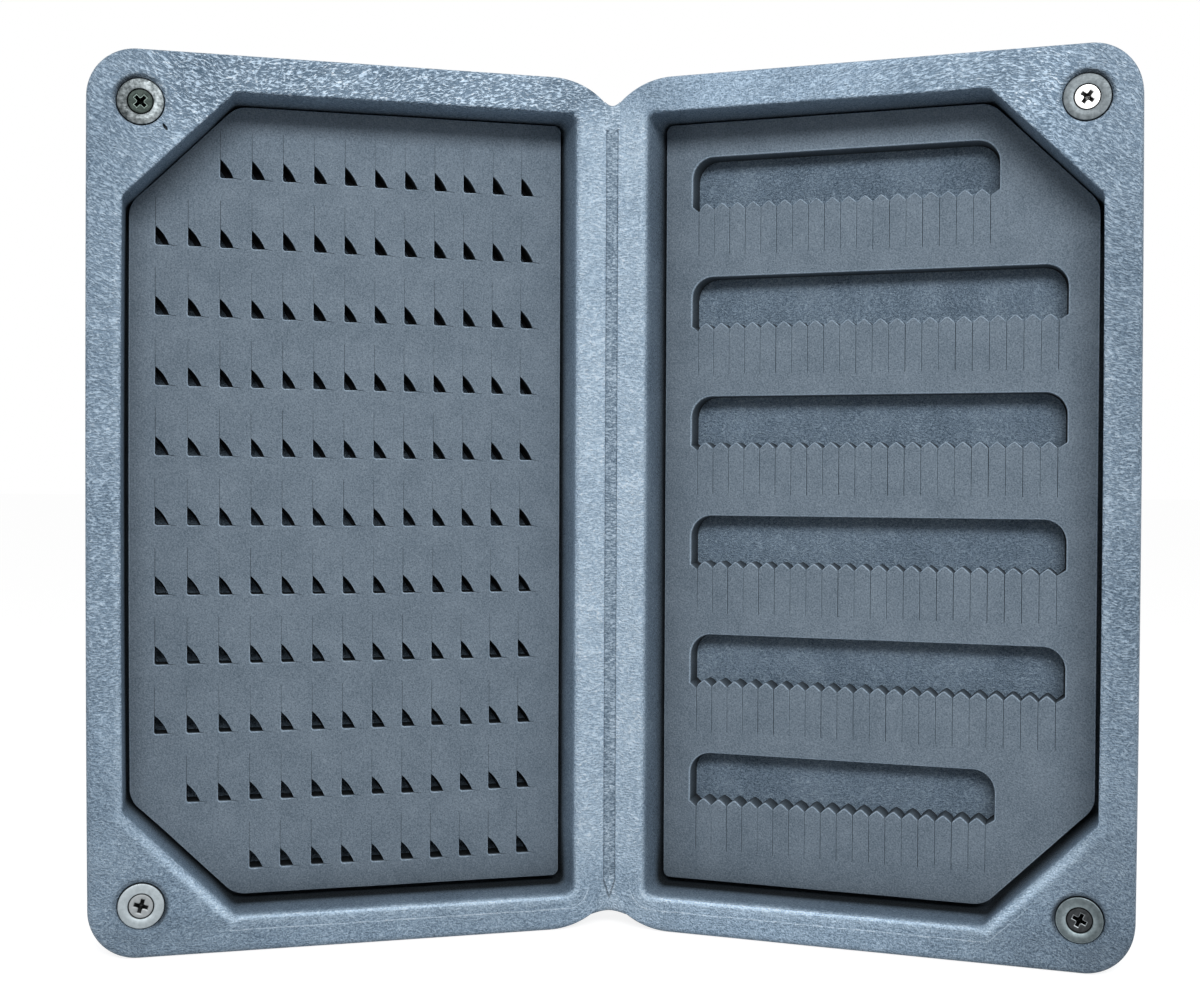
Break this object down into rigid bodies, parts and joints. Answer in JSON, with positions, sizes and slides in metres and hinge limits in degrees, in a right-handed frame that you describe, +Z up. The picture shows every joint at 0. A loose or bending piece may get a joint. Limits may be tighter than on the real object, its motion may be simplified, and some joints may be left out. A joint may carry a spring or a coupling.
{
  "type": "fly box",
  "caption": "Foam fly box that opens like a book on a foam hinge, with a slotted insert, a windowed comb insert and screwed ring magnets that hold it shut.",
  "frame": {"origin": "middle of the footprint, on the floor, as the open box stands on its short edge", "axes": "+X across the two open halves, towards the half with the windows; +Y towards the backs of the halves; +Z up along the hinge"},
  "size_m": [0.2372, 0.0546, 0.2],
  "materials": {
    "shell_foam": "matte moulded closed-cell foam",
    "hinge_foam": "matte pressed closed-cell foam",
    "insert_foam": "matte die-cut closed-cell foam",
    "adhesive": "satin double-sided film",
    "magnet": "satin nickel plating",
    "screw": "zinc-plated steel",
    "anchor": "natural nylon"
  },
  "bodies": {
    "hinge": {"hinge_web": "hinge_foam"},
    "left_half": {"left_shell": "shell_foam", "left_insert": "insert_foam", "left_adhesive": "adhesive", "left_upper_magnet": "magnet", "left_lower_magnet": "magnet", "left_upper_screw": "screw", "left_lower_screw": "screw", "left_upper_anchor": "anchor", "left_lower_anchor": "anchor"},
    "right_half": {"right_shell": "shell_foam", "right_insert": "insert_foam", "right_adhesive": "adhesive", "right_upper_magnet": "magnet", "right_lower_magnet": "magnet", "right_upper_screw": "screw", "right_lower_screw": "screw", "right_upper_anchor": "anchor", "right_lower_anchor": "anchor"}
  },
  "joints": [
    {"name": "left_fold", "type": "hinge", "parent": "hinge", "child": "left_half", "pos_m": [-0.0009, 0.00582, 0.1], "axis": [0, 0, 1], "range_deg": [-16.25, 73.75]},
    {"name": "right_fold", "type": "hinge", "parent": "hinge", "child": "right_half", "pos_m": [0.0009, 0.00582, 0.1], "axis": [0, 0, -1], "range_deg": [-16.25, 73.75]}
  ],
  "couplings": [
    {"joint": "left_fold", "follows": "right_fold", "ratio": 1}
  ]
}
